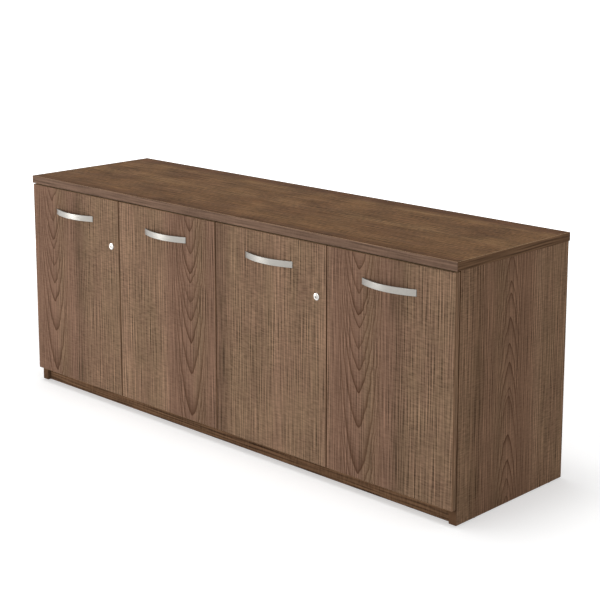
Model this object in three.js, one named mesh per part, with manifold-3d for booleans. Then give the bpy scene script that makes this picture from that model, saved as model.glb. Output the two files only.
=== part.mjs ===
// Office credenza with two pairs of full-overlay doors, bow pulls, cam locks and concealed hinges.
// Millimetres, Z up. The front faces -Y, the floor is Z = 0 and the origin is under the middle of its box.
import * as THREE from "three";
import { mergeVertices } from "three/addons/utils/BufferGeometryUtils.js";
import Module from "manifold-3d";

const wasm = await Module();
wasm.setup();

// Overall size
const WIDTH = 1829;
const DEPTH = 508;
const HEIGHT = 724;

// Panels
const TOP_THICK = 25.4;
const END_THICK = 25.4;
const PARTITION_THICK = 19;
const BOTTOM_THICK = 18;
const SHELF_THICK = 19;
const BACK_THICK = 16;
const KICK_THICK = 16;
const TOP_OVERHANG = 2;
const TOP_BACK_OVERHANG = 3.5;
const KICK_SETBACK = 29.5;
const TOP_EDGE_ROUND = 2;
const BAND_ROUND = 1;
const ROUND_STEPS = 3;

// Doors
const DOOR_COUNT = 4;
const DOOR_THICK = 15.9;
const DOOR_SETBACK = 1;
const DOOR_REVEAL = 1.5;
const DOOR_GAP = 3.2;
const DOOR_TOP_GAP = 3.2;
const DOOR_FLOOR_GAP = 46.8;
const DOOR_STANDOFF = 1.4;
const BOTTOM_COVER = 1;

// Bow pulls
const PULL_LENGTH = 192;
const PULL_FOOT = 15;
const PULL_REACH = 23;
const PULL_STRAP = 4;
const PULL_END = 1.6;
const PULL_TALL = 19;
const PULL_DROP = 77;
const PULL_ROUND = 0.7;
const PULL_STEPS = 16;
const SCREW_HOLE_RADIUS = 2.2;

// Concealed hinges: u runs in from the door's hinged edge, v runs back from the door's front face
const HINGE_END_DISTANCE = 100;
const CUP_CENTRE = 22.3;
const CUP_RADIUS = 17.5;
const CUP_WALL = 1;
const CUP_DEPTH = 12;
const CUP_RIM = 2;
const CUP_FLANGE = 0.9;
const CUP_WING_LENGTH = 62;
const CUP_WING_OUT = 8;
const CUP_WING_IN = 13;
const CUP_PIVOT = [13.8, 14.3];
const ARM_PIVOT = [39, 23.6];
const LINK_KNEE = [30.5, 7.7];
const LINK_HALF_WIDTH = 1.9;
const LINK_END_RADIUS = 2.4;
const LINK_CHEEK = 2;
const NOSE_RADIUS = 2.6;
const NOSE_WIDTH = 6;
const NOSE_LENGTH = 12;
const PIN_RADIUS = 1.2;
const PIN_CLEARANCE = 0.3;
const ARM_WIDTH = 14;
const ARM_TALL = 10;
const ARM_START = 6;
const ARM_CRANK = 14;
const ARM_REACH = 70;
const PLATE_THICK = 2.5;
const PLATE_LENGTH = 36;
const PLATE_TALL = 46;
const PLATE_INSET = 4;

// Cam locks
const LOCK_INSET = 36.8;
const LOCK_DROP = 153;
const LOCK_FACE_RADIUS = 11;
const LOCK_FACE_BEVEL = 1.2;
const LOCK_FACE_THICK = 2.4;
const LOCK_BARREL_RADIUS = 9;
const LOCK_BARREL_BACK = 2.5;
const LOCK_PLUG_RADIUS = 5.5;
const LOCK_PLUG_PROUD = 0.4;
const KEYWAY_WIDE = 2;
const KEYWAY_TALL = 8;
const KEYWAY_DEEP = 9;
const CAM_SQUARE = 7;
const CAM_THICK = 2.5;
const CAM_HALF_WIDTH = 8;
const CAM_REACH = 44;
const CAM_SCREW_RADIUS = 5;
const CAM_SCREW_HEAD = 2.2;

// Surface bolts on the inactive doors
const BOLT_INSET = 26;
const BOLT_RADIUS = 4;
const BOLT_TRAVEL = 14;
const BOLT_TOP_DROP = 3;
const BOLT_LENGTH = 74;
const BOLT_CLEARANCE = 0.4;
const BOLT_SOCKET_CLEARANCE = 0.6;
const BOLT_SOCKET_DEPTH = 13;
const GUIDE_LENGTH = 52;
const GUIDE_TOP_DROP = 9;
const GUIDE_WALL = 1.6;
const GUIDE_FLANGE = 8;
const KNOB_RADIUS = 2.4;
const KNOB_LENGTH = 9;
const KNOB_RISE = 22;

// Adjustable shelves and their holes
const SHELF_SIDE_GAP = 1.5;
const SHELF_FRONT_SETBACK = 32;
const SHELF_BACK_GAP = 6;
const HOLE_RADIUS = 2.5;
const HOLE_DEPTH = 8.5;
const HOLE_PITCH = 32;
const HOLE_COUNT = 7;
const HOLE_ROW_INSET = 70;
const SUPPORT_HOLE = 3;
const SUPPORT_REACH = 8;
const SUPPORT_WIDE = 9;
const SUPPORT_THICK = 3.5;

// Floor glides
const GLIDE_RADIUS = 11;
const GLIDE_THICK = 2;
const GLIDE_STEM_RADIUS = 4;
const GLIDE_STEM_LENGTH = 15;
const GLIDE_INSET = 55;

const CLEARANCE = 0.15;
const OVERCUT = 1;
const FINE = 20;
const COARSE = 12;
const SMALL = 8;

// Places that follow from the sizes
const TOP_BACK_Y = (DEPTH + PULL_REACH - DOOR_SETBACK) / 2;
const TOP_FRONT_Y = TOP_BACK_Y - DEPTH;
const TOP_UNDER_Z = HEIGHT - TOP_THICK;
const END_OUTER_X = WIDTH / 2 - TOP_OVERHANG;
const END_INNER_X = END_OUTER_X - END_THICK;
const CASE_BACK_Y = TOP_BACK_Y - TOP_BACK_OVERHANG;
const BACK_FRONT_Y = CASE_BACK_Y - BACK_THICK;
const DOOR_FRONT_Y = TOP_FRONT_Y + DOOR_SETBACK;
const DOOR_BACK_Y = DOOR_FRONT_Y + DOOR_THICK;
const CASE_FRONT_Y = DOOR_BACK_Y + DOOR_STANDOFF;
const FRONT_CUT_Y = DOOR_FRONT_Y - OVERCUT;
const BACK_CUT_Y = DOOR_BACK_Y + OVERCUT;
const KICK_FRONT_Y = TOP_FRONT_Y + KICK_SETBACK;
const KICK_BACK_Y = KICK_FRONT_Y + KICK_THICK;
const DOOR_TOP_Z = TOP_UNDER_Z - DOOR_TOP_GAP;
const DOOR_LOW_Z = DOOR_FLOOR_GAP;
const BOTTOM_LOW_Z = DOOR_LOW_Z + BOTTOM_COVER;
const BOTTOM_HIGH_Z = BOTTOM_LOW_Z + BOTTOM_THICK;
const DOORS_HALF = END_OUTER_X - DOOR_REVEAL;
const DOOR_WIDTH = (2 * DOORS_HALF - (DOOR_COUNT - 1) * DOOR_GAP) / DOOR_COUNT;
const HALF_PARTITION = PARTITION_THICK / 2;
const HINGE_ZS = [DOOR_LOW_Z + HINGE_END_DISTANCE, DOOR_TOP_Z - HINGE_END_DISTANCE];
const PULL_Z = DOOR_TOP_Z - PULL_DROP;
const LOCK_Z = DOOR_TOP_Z - LOCK_DROP;
const BAY_MID_Z = (BOTTOM_HIGH_Z + TOP_UNDER_Z) / 2;
const HOLE_LOW_Z = BAY_MID_Z - ((HOLE_COUNT - 1) / 2) * HOLE_PITCH;
const SUPPORT_Z = HOLE_LOW_Z + SUPPORT_HOLE * HOLE_PITCH;
const SHELF_LOW_Z = SUPPORT_Z + SUPPORT_THICK / 2;
const SHELF_FRONT_Y = CASE_FRONT_Y + SHELF_FRONT_SETBACK;
const SHELF_BACK_Y = BACK_FRONT_Y - SHELF_BACK_GAP;
const HOLE_ROWS_Y = [SHELF_FRONT_Y + HOLE_ROW_INSET, SHELF_BACK_Y - HOLE_ROW_INSET];
const GLIDE_YS = [KICK_BACK_Y + GLIDE_INSET, CASE_BACK_Y - GLIDE_INSET];
const BOLT_Y = DOOR_BACK_Y + GUIDE_WALL + BOLT_CLEARANCE + BOLT_RADIUS;
const BOLT_TOP_Z = DOOR_TOP_Z - BOLT_TOP_DROP;

// Finishes
const finish = (color, roughness, metalness) => ({ color, roughness, metalness });
const DOOR_LAMINATE = finish(0x8a715f, 0.55, 0);
const TOP_LAMINATE = finish(0x77604e, 0.5, 0);
const END_LAMINATE = finish(0x7a6352, 0.55, 0);
const KICK_LAMINATE = finish(0x5e4a3b, 0.6, 0);
const CASE_LAMINATE = finish(0x846b58, 0.6, 0);
const SATIN_NICKEL = finish(0xc4c2bd, 0.3, 1);
const PLATED_STEEL = finish(0xb4b6b8, 0.32, 1);
const BLACK_NYLON = finish(0x232323, 0.6, 0);

const credenza = new THREE.Group();
credenza.name = "credenza";

// Turns a closed geometry into a solid, leaving out faces that have shrunk to a line
function solid(geometry) {
  const plain = geometry.clone();
  plain.deleteAttribute("normal");
  plain.deleteAttribute("uv");
  const merged = mergeVertices(plain, 1e-4);
  const corners = Array.from(merged.index.array);
  const faces = [];
  for (let i = 0; i < corners.length; i += 3) {
    const [a, b, c] = corners.slice(i, i + 3);
    if (a !== b && b !== c && c !== a) {
      faces.push(a, b, c);
    }
  }
  const mesh = new wasm.Mesh({
    numProp: 3,
    vertProperties: Float32Array.from(merged.attributes.position.array),
    triVerts: Uint32Array.from(faces),
  });
  return new wasm.Manifold(mesh);
}

// Adds one named piece to the credenza
function piece(name, body, look) {
  const mesh = body.getMesh();
  const geometry = new THREE.BufferGeometry();
  const points = Float32Array.from(mesh.vertProperties);
  geometry.setAttribute("position", new THREE.BufferAttribute(points, 3));
  geometry.setIndex(Array.from(mesh.triVerts));
  geometry.computeVertexNormals();
  const node = new THREE.Mesh(geometry, new THREE.MeshStandardMaterial(look));
  node.name = name;
  credenza.add(node);
}

// A block between two opposite corners, given in either order along each axis
function block(x0, x1, y0, y1, z0, z1) {
  const size = [x1 - x0, y1 - y0, z1 - z0].map(Math.abs);
  const shape = new THREE.BoxGeometry(...size);
  shape.translate((x0 + x1) / 2, (y0 + y1) / 2, (z0 + z1) / 2);
  return solid(shape);
}

// A plan outline carried up from z0 to z1
function upright(points, z0, z1) {
  const shape = new THREE.Shape(points.map(([x, y]) => new THREE.Vector2(x, y)));
  const geometry = new THREE.ExtrudeGeometry(shape, { depth: z1 - z0, bevelEnabled: false });
  geometry.translate(0, 0, z0);
  return solid(geometry);
}

// A round bar along z, y or x, by its axis's centre point
function barZ(x, y, z0, z1, radius, sides) {
  const shape = new THREE.CylinderGeometry(radius, radius, z1 - z0, sides);
  shape.rotateX(Math.PI / 2);
  shape.translate(x, y, (z0 + z1) / 2);
  return solid(shape);
}

function barY(x, y0, y1, z, radius, sides, radiusFront = radius) {
  const shape = new THREE.CylinderGeometry(radius, radiusFront, y1 - y0, sides);
  shape.translate(x, (y0 + y1) / 2, z);
  return solid(shape);
}

function barX(x0, x1, y, z, radius, sides) {
  const shape = new THREE.CylinderGeometry(radius, radius, Math.abs(x1 - x0), sides);
  shape.rotateZ(Math.PI / 2);
  shape.translate((x0 + x1) / 2, y, z);
  return solid(shape);
}

// A rectangle whose corners are rounded by the four radii, from the low corner on
function rounded(x0, x1, y0, y1, radii) {
  const middles = [
    [x0, y0, 1, 1, Math.PI],
    [x1, y0, -1, 1, 1.5 * Math.PI],
    [x1, y1, -1, -1, 0],
    [x0, y1, 1, -1, 0.5 * Math.PI],
  ];
  const points = [];
  middles.forEach(([x, y, sx, sy, start], corner) => {
    const radius = radii[corner];
    const steps = radius > 0 ? ROUND_STEPS : 0;
    for (let i = 0; i <= steps; i += 1) {
      const turn = start + (steps > 0 ? (i / steps) * (Math.PI / 2) : 0);
      const px = x + sx * radius + radius * Math.cos(turn);
      const py = y + sy * radius + radius * Math.sin(turn);
      points.push([px, py]);
    }
  });
  return points;
}

// A panel whose outline lies across X, carried along X
function lengthwise(points, x0, x1) {
  const shape = new THREE.Shape(points.map(([y, z]) => new THREE.Vector2(y, z)));
  const geometry = new THREE.ExtrudeGeometry(shape, { depth: x1 - x0, bevelEnabled: false });
  geometry.rotateX(Math.PI / 2);
  geometry.rotateZ(Math.PI / 2);
  geometry.translate(x0, 0, 0);
  return solid(geometry);
}

// The doors: which edge is hinged, and on which face of the case
const doors = [];
for (let i = 0; i < DOOR_COUNT; i += 1) {
  const low = -DOORS_HALF + i * (DOOR_WIDTH + DOOR_GAP);
  const high = low + DOOR_WIDTH;
  const leftHung = i % 2 === 0;
  const edges = [-END_INNER_X, -HALF_PARTITION, HALF_PARTITION, END_INNER_X];
  doors.push({
    number: i + 1,
    low,
    high,
    mid: (low + high) / 2,
    hinged: leftHung ? low : high,
    free: leftHung ? high : low,
    inward: leftHung ? 1 : -1,
    caseX: edges[i],
    active: leftHung,
  });
}
const boltX = (door) => door.free - door.inward * BOLT_INSET;
const lockX = (door) => door.free - door.inward * LOCK_INSET;

// Top, with rounded band edges and a socket for each bolt
function makeTop() {
  const edge = [TOP_EDGE_ROUND, TOP_EDGE_ROUND, TOP_EDGE_ROUND, TOP_EDGE_ROUND];
  const outline = rounded(TOP_FRONT_Y, TOP_BACK_Y, TOP_UNDER_Z, HEIGHT, edge);
  let top = lengthwise(outline, -WIDTH / 2, WIDTH / 2);
  for (const door of doors.filter((d) => !d.active)) {
    const radius = BOLT_RADIUS + BOLT_SOCKET_CLEARANCE;
    const deep = TOP_UNDER_Z + BOLT_SOCKET_DEPTH;
    top = top.subtract(barZ(boltX(door), BOLT_Y, TOP_UNDER_Z - OVERCUT, deep, radius, COARSE));
  }
  return top;
}

// Shelf holes in one face, with a support pressed into one hole of each row
function drillShelfHoles(panel, faceX, into) {
  let drilled = panel;
  for (const y of HOLE_ROWS_Y) {
    for (let i = 0; i < HOLE_COUNT; i += 1) {
      const z = HOLE_LOW_Z + i * HOLE_PITCH;
      if (i !== SUPPORT_HOLE) {
        drilled = drilled.subtract(barX(faceX - into, faceX + into * HOLE_DEPTH, y, z, HOLE_RADIUS, SMALL));
      }
    }
    const half = SUPPORT_WIDE / 2;
    const low = SUPPORT_Z - SUPPORT_THICK / 2;
    const high = SUPPORT_Z + SUPPORT_THICK / 2;
    drilled = drilled.add(block(faceX + into, faceX - into * SUPPORT_REACH, y - half, y + half, low, high));
  }
  return drilled;
}

// Bores for the glide stems in a panel's lower edge
function boreForGlides(panel, x) {
  let bored = panel;
  for (const y of GLIDE_YS) {
    const top = GLIDE_THICK + GLIDE_STEM_LENGTH + CLEARANCE;
    bored = bored.subtract(barZ(x, y, 0, top, GLIDE_STEM_RADIUS + CLEARANCE, COARSE));
  }
  return bored;
}

function makeEnd(side) {
  const low = Math.min(side * END_OUTER_X, side * END_INNER_X);
  const band = [BAND_ROUND, BAND_ROUND, BAND_ROUND, BAND_ROUND];
  const outline = rounded(low, low + END_THICK, CASE_FRONT_Y, CASE_BACK_Y, band);
  const drilled = drillShelfHoles(upright(outline, GLIDE_THICK, TOP_UNDER_Z), side * END_INNER_X, side);
  return boreForGlides(drilled, low + END_THICK / 2);
}

// The partition is cut back below the bottom panels so that the toe kick passes in front of it
function makePartition() {
  const band = [BAND_ROUND, BAND_ROUND, 0, 0];
  const outline = rounded(-HALF_PARTITION, HALF_PARTITION, CASE_FRONT_Y, CASE_BACK_Y, band);
  let panel = upright(outline, GLIDE_THICK, TOP_UNDER_Z);
  const wide = PARTITION_THICK;
  panel = panel.subtract(block(-wide, wide, CASE_FRONT_Y - OVERCUT, KICK_BACK_Y, 0, BOTTOM_LOW_Z));
  panel = drillShelfHoles(panel, -HALF_PARTITION, 1);
  panel = drillShelfHoles(panel, HALF_PARTITION, -1);
  return boreForGlides(panel, 0);
}

function makeGlide(x, y) {
  const foot = barZ(x, y, 0, GLIDE_THICK, GLIDE_RADIUS, FINE);
  return foot.add(barZ(x, y, GLIDE_THICK / 2, GLIDE_THICK + GLIDE_STEM_LENGTH, GLIDE_STEM_RADIUS, COARSE));
}

function addGlides(word, x) {
  GLIDE_YS.forEach((y, i) => {
    const place = ["front", "back"][i];
    piece(`${word}_glide_${place}`, makeGlide(x, y), BLACK_NYLON);
  });
}

// One door, bored for its hinge cups, pull screws and lock
function makeDoor(door) {
  const band = [BAND_ROUND, BAND_ROUND, BAND_ROUND, BAND_ROUND];
  const outline = rounded(door.low, door.high, DOOR_FRONT_Y, DOOR_BACK_Y, band);
  let leaf = upright(outline, DOOR_LOW_Z, DOOR_TOP_Z);
  const cupX = door.hinged + door.inward * CUP_CENTRE;
  for (const z of HINGE_ZS) {
    const floor = DOOR_BACK_Y - CUP_DEPTH - CLEARANCE;
    leaf = leaf.subtract(barY(cupX, floor, BACK_CUT_Y, z, CUP_RADIUS + CLEARANCE, FINE));
  }
  for (const side of [-1, 1]) {
    const x = door.mid + side * (PULL_LENGTH - PULL_FOOT) / 2;
    leaf = leaf.subtract(barY(x, FRONT_CUT_Y, BACK_CUT_Y, PULL_Z, SCREW_HOLE_RADIUS, SMALL));
  }
  if (door.active) {
    const radius = LOCK_BARREL_RADIUS + CLEARANCE;
    leaf = leaf.subtract(barY(lockX(door), FRONT_CUT_Y, BACK_CUT_Y, LOCK_Z, radius, FINE));
  }
  return leaf;
}

// A flat strap bowed off the door, thickening into a foot at each end
function makePull(door) {
  const half = PULL_LENGTH / 2;
  const points = [];
  const bow = (span, rise, end, turn) => {
    for (let i = 0; i <= PULL_STEPS; i += 1) {
      const along = turn * (1 - (2 * i) / PULL_STEPS);
      const out = end + (rise - end) * (1 - along * along);
      points.push(new THREE.Vector2(door.mid + along * span, DOOR_FRONT_Y - out));
    }
  };
  bow(half - PULL_ROUND, PULL_REACH - PULL_ROUND, PULL_END, -1);
  bow(half - PULL_FOOT, PULL_REACH - PULL_STRAP, PULL_ROUND, 1);
  const foot = [half - PULL_FOOT, half - PULL_ROUND];
  points.splice(PULL_STEPS + 1, 0, new THREE.Vector2(door.mid + foot[1], DOOR_FRONT_Y - PULL_ROUND));
  points.push(new THREE.Vector2(door.mid - foot[1], DOOR_FRONT_Y - PULL_ROUND));
  const geometry = new THREE.ExtrudeGeometry(new THREE.Shape(points), {
    depth: PULL_TALL - 2 * PULL_ROUND,
    bevelEnabled: true,
    bevelThickness: PULL_ROUND,
    bevelSize: PULL_ROUND,
    bevelSegments: 2,
  });
  geometry.translate(0, 0, PULL_Z - PULL_TALL / 2 + PULL_ROUND);
  return solid(geometry);
}

// Places a hinge's own plan point in the credenza
const hingePoint = (door, [u, v]) => [door.hinged + door.inward * u, DOOR_FRONT_Y + v];
const hingePlan = (door, points) => points.map((point) => hingePoint(door, point));

// The pressed cup in the door, with its wing plate and the link's pivot pin
function makeCup(door, z) {
  const x = door.hinged + door.inward * CUP_CENTRE;
  const rimY = DOOR_BACK_Y + CUP_FLANGE;
  const inner = CUP_RADIUS - CUP_WALL;
  let cup = barY(x, DOOR_BACK_Y - CUP_DEPTH, DOOR_BACK_Y + CUP_FLANGE / 2, z, CUP_RADIUS, FINE);
  cup = cup.add(barY(x, DOOR_BACK_Y, rimY, z, CUP_RADIUS + CUP_RIM, FINE));
  const wing = [x - door.inward * CUP_WING_OUT, x + door.inward * CUP_WING_IN];
  const half = CUP_WING_LENGTH / 2;
  cup = cup.add(block(...wing, DOOR_BACK_Y, rimY, z - half, z + half));
  cup = cup.subtract(barY(x, DOOR_BACK_Y - CUP_DEPTH + CUP_WALL, rimY + OVERCUT, z, inner, FINE));
  const offset = CUP_PIVOT[0] - CUP_CENTRE;
  const chord = Math.sqrt(inner * inner - offset * offset) + CUP_WALL / 2;
  return cup.add(barZ(...hingePoint(door, CUP_PIVOT), z - chord, z + chord, PIN_RADIUS, SMALL));
}

// The arm on its mounting plate, cranked from the case's face out to the pivot
function makeArm(door, z) {
  const [pivotU, pivotV] = ARM_PIVOT;
  const faceU = (door.caseX - door.hinged) * door.inward;
  const plateU = faceU + PLATE_THICK;
  const backU = plateU + ARM_TALL;
  const startV = pivotV + ARM_START;
  const endV = pivotV + ARM_REACH;
  const body = [
    [pivotU + NOSE_RADIUS, startV],
    [pivotU + NOSE_RADIUS, startV + ARM_START],
    [backU, startV + ARM_START + ARM_CRANK],
    [backU, endV],
    [plateU, endV],
    [plateU, startV + ARM_START],
    [pivotU - NOSE_RADIUS, startV],
  ];
  const half = ARM_WIDTH / 2;
  let arm = upright(hingePlan(door, body), z - half, z + half);
  const nose = NOSE_WIDTH / 2;
  const tab = [
    [pivotU - NOSE_RADIUS, pivotV],
    [pivotU + NOSE_RADIUS, pivotV],
    [pivotU + NOSE_RADIUS, pivotV + NOSE_LENGTH],
    [pivotU - NOSE_RADIUS, pivotV + NOSE_LENGTH],
  ];
  arm = arm.add(upright(hingePlan(door, tab), z - nose, z + nose));
  const pivot = hingePoint(door, ARM_PIVOT);
  arm = arm.add(barZ(...pivot, z - nose, z + nose, NOSE_RADIUS, COARSE));
  const reach = nose + PIN_CLEARANCE + LINK_CHEEK;
  arm = arm.add(barZ(...pivot, z - reach, z + reach, PIN_RADIUS, SMALL));
  const plate = [
    [faceU, endV - PLATE_INSET - PLATE_LENGTH],
    [plateU + OVERCUT, endV - PLATE_INSET - PLATE_LENGTH],
    [plateU + OVERCUT, endV - PLATE_INSET],
    [faceU, endV - PLATE_INSET],
  ];
  const tall = PLATE_TALL / 2;
  return arm.add(upright(hingePlan(door, plate), z - tall, z + tall));
}

// The bent link between arm and cup: two cheeks joined at the knee
function makeLink(door, z) {
  const strip = ([u0, v0], [u1, v1]) => {
    const length = Math.hypot(u1 - u0, v1 - v0);
    const du = (-(v1 - v0) / length) * LINK_HALF_WIDTH;
    const dv = ((u1 - u0) / length) * LINK_HALF_WIDTH;
    const ring = [
      [u0 + du, v0 + dv],
      [u0 - du, v0 - dv],
      [u1 - du, v1 - dv],
      [u1 + du, v1 + dv],
    ];
    return hingePlan(door, ring);
  };
  const inner = NOSE_WIDTH / 2 + PIN_CLEARANCE;
  const outer = inner + LINK_CHEEK;
  const through = outer + OVERCUT;
  let link = barZ(...hingePoint(door, LINK_KNEE), z - outer, z + outer, LINK_HALF_WIDTH, SMALL);
  for (const [low, high] of [[z - outer, z - inner], [z + inner, z + outer]]) {
    for (const pivot of [ARM_PIVOT, CUP_PIVOT]) {
      const place = hingePoint(door, pivot);
      link = link.add(upright(strip(pivot, LINK_KNEE), low, high));
      link = link.add(barZ(...place, low, high, LINK_END_RADIUS, SMALL));
    }
  }
  for (const pivot of [ARM_PIVOT, CUP_PIVOT]) {
    const place = hingePoint(door, pivot);
    link = link.subtract(barZ(...place, z - through, z + through, PIN_RADIUS + PIN_CLEARANCE, SMALL));
  }
  return link;
}

// Lock places along the bore, from the face's front to the cam screw
const LOCK_FRONT_Y = DOOR_FRONT_Y - LOCK_FACE_THICK;
const LOCK_BACK_Y = DOOR_BACK_Y + LOCK_BARREL_BACK;
const CAM_BACK_Y = LOCK_BACK_Y + CLEARANCE + CAM_THICK;

function makeLockHousing(door) {
  const x = lockX(door);
  const bevelled = LOCK_FACE_RADIUS - LOCK_FACE_BEVEL;
  let housing = barY(x, LOCK_FRONT_Y, DOOR_FRONT_Y, LOCK_Z, LOCK_FACE_RADIUS, 2 * COARSE, bevelled);
  housing = housing.add(barY(x, DOOR_FRONT_Y - OVERCUT, LOCK_BACK_Y, LOCK_Z, LOCK_BARREL_RADIUS, FINE));
  const bore = LOCK_PLUG_RADIUS + PIN_CLEARANCE;
  return housing.subtract(barY(x, LOCK_FRONT_Y - OVERCUT, LOCK_BACK_Y + OVERCUT, LOCK_Z, bore, FINE));
}

function makeLockPlug(door) {
  const x = lockX(door);
  const front = LOCK_FRONT_Y - LOCK_PLUG_PROUD;
  let plug = barY(x, front, LOCK_BACK_Y + CLEARANCE, LOCK_Z, LOCK_PLUG_RADIUS, FINE);
  const half = CAM_SQUARE / 2;
  plug = plug.add(block(x - half, x + half, LOCK_BACK_Y, CAM_BACK_Y, LOCK_Z - half, LOCK_Z + half));
  plug = plug.add(barY(x, CAM_BACK_Y, CAM_BACK_Y + CAM_SCREW_HEAD, LOCK_Z, CAM_SCREW_RADIUS, COARSE));
  const wide = KEYWAY_WIDE / 2;
  const tall = KEYWAY_TALL / 2;
  const keyway = [x - wide, x + wide, front - OVERCUT, front + KEYWAY_DEEP];
  return plug.subtract(block(...keyway, LOCK_Z - tall, LOCK_Z + tall));
}

function makeLockCam(door) {
  const x = lockX(door);
  const front = CAM_BACK_Y - CAM_THICK;
  let cam = barY(x, front, CAM_BACK_Y, LOCK_Z, CAM_HALF_WIDTH, FINE);
  const tongue = [x - CAM_HALF_WIDTH, x + CAM_HALF_WIDTH, front, CAM_BACK_Y];
  cam = cam.add(block(...tongue, LOCK_Z - CAM_REACH, LOCK_Z));
  cam = cam.add(barY(x, front, CAM_BACK_Y, LOCK_Z - CAM_REACH, CAM_HALF_WIDTH, FINE));
  const half = CAM_SQUARE / 2 + CLEARANCE;
  const square = [x - half, x + half, front - OVERCUT, CAM_BACK_Y + OVERCUT];
  return cam.subtract(block(...square, LOCK_Z - half, LOCK_Z + half));
}

// The bolt's guide: a channel on a flanged plate, slotted for the knob
function makeGuide(door) {
  const x = boltX(door);
  const room = BOLT_RADIUS + BOLT_CLEARANCE;
  const outer = room + GUIDE_WALL;
  const backY = BOLT_Y + room + GUIDE_WALL;
  const high = DOOR_TOP_Z - GUIDE_TOP_DROP;
  const low = high - GUIDE_LENGTH;
  const flange = outer + GUIDE_FLANGE;
  let guide = block(x - flange, x + flange, DOOR_BACK_Y, DOOR_BACK_Y + GUIDE_WALL, low, high);
  guide = guide.add(block(x - outer, x + outer, DOOR_BACK_Y, backY, low, high));
  const channel = [x - room, x + room, BOLT_Y - room, BOLT_Y + room];
  guide = guide.subtract(block(...channel, low - OVERCUT, high + OVERCUT));
  const slot = KNOB_RADIUS + BOLT_CLEARANCE;
  const slotLow = BOLT_TOP_Z - BOLT_LENGTH + KNOB_RISE - slot;
  const slotHigh = slotLow + 2 * slot + BOLT_TRAVEL;
  return guide.subtract(block(x - slot, x + slot, BOLT_Y, backY + OVERCUT, slotLow, slotHigh));
}

function makeBolt(door) {
  const x = boltX(door);
  const low = BOLT_TOP_Z - BOLT_LENGTH;
  const rod = barZ(x, BOLT_Y, low, BOLT_TOP_Z, BOLT_RADIUS, COARSE);
  const tip = BOLT_Y + BOLT_RADIUS + KNOB_LENGTH;
  return rod.add(barY(x, BOLT_Y, tip, low + KNOB_RISE, KNOB_RADIUS, COARSE));
}

// Case
piece("top_panel", makeTop(), TOP_LAMINATE);
const sides = [["left", -1], ["right", 1]];
for (const [word, side] of sides) {
  const panelX = side * (END_OUTER_X - END_THICK / 2);
  const bay = [side * HALF_PARTITION, side * END_INNER_X];
  const shelf = [bay[0] + side * SHELF_SIDE_GAP, bay[1] - side * SHELF_SIDE_GAP];
  piece(`${word}_end_panel`, makeEnd(side), END_LAMINATE);
  const floor = block(...bay, CASE_FRONT_Y, BACK_FRONT_Y, BOTTOM_LOW_Z, BOTTOM_HIGH_Z);
  piece(`${word}_bottom_panel`, floor, CASE_LAMINATE);
  const back = block(...bay, BACK_FRONT_Y, CASE_BACK_Y, GLIDE_THICK, TOP_UNDER_Z);
  piece(`${word}_back_panel`, back, CASE_LAMINATE);
  const board = block(...shelf, SHELF_FRONT_Y, SHELF_BACK_Y, SHELF_LOW_Z, SHELF_LOW_Z + SHELF_THICK);
  piece(`${word}_shelf`, board, CASE_LAMINATE);
  addGlides(word, panelX);
}
piece("centre_partition", makePartition(), CASE_LAMINATE);
addGlides("centre", 0);
const kick = block(-END_INNER_X, END_INNER_X, KICK_FRONT_Y, KICK_BACK_Y, GLIDE_THICK, BOTTOM_LOW_Z);
piece("toe_kick", kick, KICK_LAMINATE);

// Doors with what they carry
for (const door of doors) {
  piece(`door_${door.number}`, makeDoor(door), DOOR_LAMINATE);
  piece(`pull_${door.number}`, makePull(door), SATIN_NICKEL);
  HINGE_ZS.forEach((z, i) => {
    const place = `${door.number}_${["lower", "upper"][i]}`;
    piece(`hinge_cup_${place}`, makeCup(door, z), PLATED_STEEL);
    piece(`hinge_arm_${place}`, makeArm(door, z), PLATED_STEEL);
    piece(`hinge_link_${place}`, makeLink(door, z), PLATED_STEEL);
  });
  if (door.active) {
    piece(`lock_housing_${door.number}`, makeLockHousing(door), SATIN_NICKEL);
    piece(`lock_plug_${door.number}`, makeLockPlug(door), SATIN_NICKEL);
    piece(`lock_cam_${door.number}`, makeLockCam(door), PLATED_STEEL);
  } else {
    piece(`bolt_guide_${door.number}`, makeGuide(door), PLATED_STEEL);
    piece(`bolt_rod_${door.number}`, makeBolt(door), PLATED_STEEL);
  }
}

export default credenza;
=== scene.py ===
import math

import bmesh
import bpy
from mathutils import Matrix, Vector


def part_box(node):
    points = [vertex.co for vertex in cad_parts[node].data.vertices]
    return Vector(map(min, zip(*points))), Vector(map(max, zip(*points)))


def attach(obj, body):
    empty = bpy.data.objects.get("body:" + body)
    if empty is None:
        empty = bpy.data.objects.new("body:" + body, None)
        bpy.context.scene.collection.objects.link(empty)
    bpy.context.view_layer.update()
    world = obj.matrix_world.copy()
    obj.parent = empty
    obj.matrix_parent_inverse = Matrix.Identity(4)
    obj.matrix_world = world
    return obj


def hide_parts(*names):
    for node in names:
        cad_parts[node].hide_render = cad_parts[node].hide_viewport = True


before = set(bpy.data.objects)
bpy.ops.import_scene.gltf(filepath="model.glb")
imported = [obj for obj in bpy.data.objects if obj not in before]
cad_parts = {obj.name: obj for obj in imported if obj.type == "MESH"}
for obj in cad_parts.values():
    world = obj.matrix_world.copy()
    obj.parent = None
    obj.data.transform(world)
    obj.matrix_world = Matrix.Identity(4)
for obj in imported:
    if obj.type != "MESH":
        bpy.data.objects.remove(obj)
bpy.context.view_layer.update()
scene = bpy.context.scene
scene.view_settings.view_transform = "Standard"

# A millimetre in metres, and a metre in millimetres
MM = 0.001
METRE = 1000

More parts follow.
